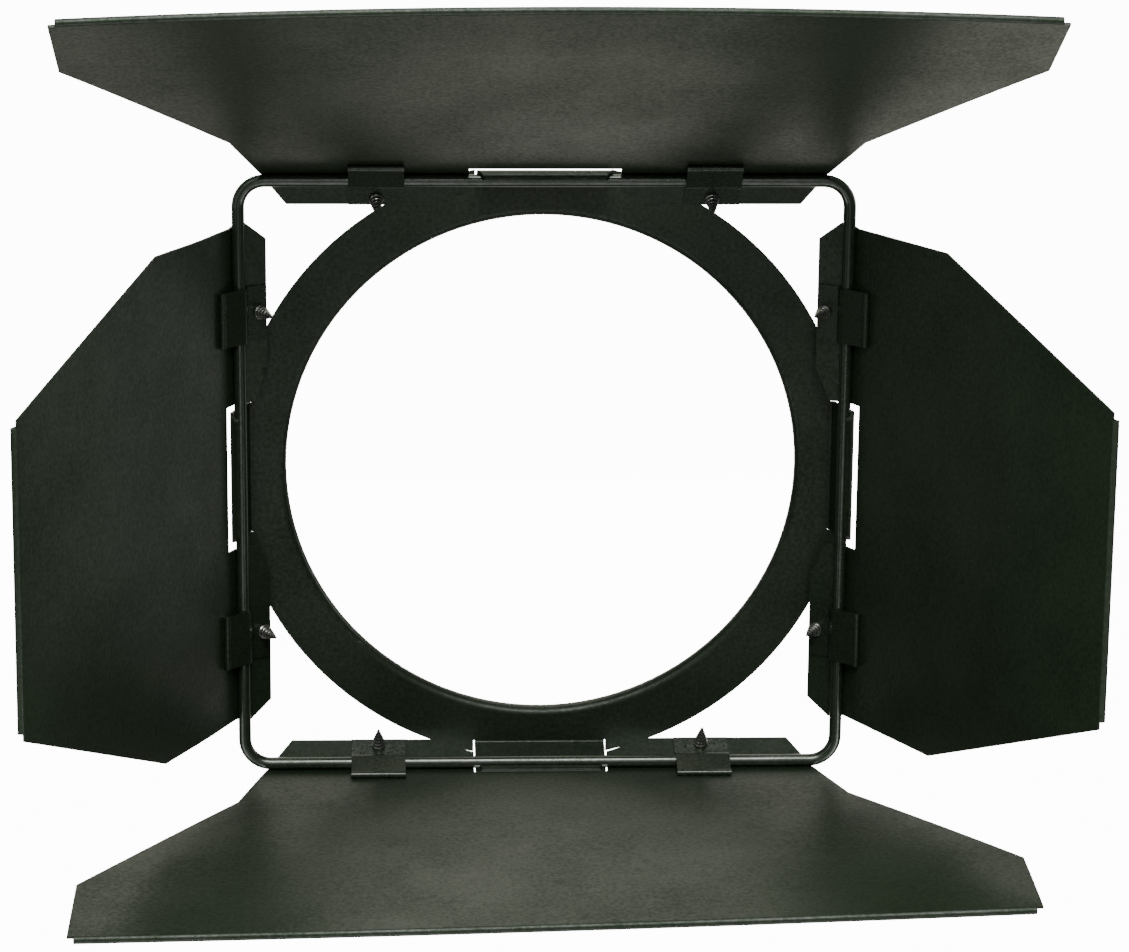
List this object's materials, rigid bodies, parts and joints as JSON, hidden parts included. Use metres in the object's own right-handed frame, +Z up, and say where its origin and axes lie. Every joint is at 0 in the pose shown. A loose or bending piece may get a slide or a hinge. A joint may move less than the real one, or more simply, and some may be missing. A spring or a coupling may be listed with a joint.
{
  "type": "barn door attachment",
  "caption": "Barn door attachment for a theatre lantern: a ring plate with a square rod frame that carries hinged black sheet-metal leaves for shaping the beam.",
  "frame": {"origin": "centre of the ring plate's flat rear face, on the beam axis", "axes": "+Y back to the lantern, so the light leaves along -Y; +Z up; +X to the right as seen from in front, looking along +Y"},
  "size_m": [0.4041, 0.1839, 0.3355],
  "materials": {
    "ring_black_powder_coat": "satin black powder coat, fine texture",
    "rod_black_powder_coat": "satin black powder coat over bent rod",
    "leaf_black_powder_coat": "satin black powder coat with a greenish cast, fine texture",
    "strap_black_enamel": "semi-gloss black, bright at worn edges",
    "screw_black_oxide": "black oxide steel"
  },
  "bodies": {
    "base": {"ring_plate": "ring_black_powder_coat", "wire_frame": "rod_black_powder_coat"},
    "top_door": {"top_leaf": "leaf_black_powder_coat", "top_strap_a": "strap_black_enamel", "top_strap_b": "strap_black_enamel", "top_screw_a": "screw_black_oxide", "top_screw_b": "screw_black_oxide"},
    "bottom_door": {"bottom_leaf": "leaf_black_powder_coat", "bottom_strap_a": "strap_black_enamel", "bottom_strap_b": "strap_black_enamel", "bottom_screw_a": "screw_black_oxide", "bottom_screw_b": "screw_black_oxide"},
    "left_door": {"left_leaf": "leaf_black_powder_coat", "left_strap_a": "strap_black_enamel", "left_strap_b": "strap_black_enamel", "left_screw_a": "screw_black_oxide", "left_screw_b": "screw_black_oxide"},
    "right_door": {"right_leaf": "leaf_black_powder_coat", "right_strap_a": "strap_black_enamel", "right_strap_b": "strap_black_enamel", "right_screw_a": "screw_black_oxide", "right_screw_b": "screw_black_oxide"}
  },
  "joints": [
    {"name": "top_hinge", "type": "hinge", "parent": "base", "child": "top_door", "pos_m": [0, -0.018, 0.12075], "axis": [1, 0, 0], "range_deg": [-60, 50]},
    {"name": "bottom_hinge", "type": "hinge", "parent": "base", "child": "bottom_door", "pos_m": [0, -0.018, -0.12075], "axis": [-1, 0, 0], "range_deg": [-89, 21]},
    {"name": "left_hinge", "type": "hinge", "parent": "base", "child": "left_door", "pos_m": [-0.12075, -0.018, 0], "axis": [0, 0, 1], "range_deg": [-63, 115]},
    {"name": "right_hinge", "type": "hinge", "parent": "base", "child": "right_door", "pos_m": [0.12075, -0.018, 0], "axis": [0, 0, -1], "range_deg": [-60.5, 112.5]}
  ]
}
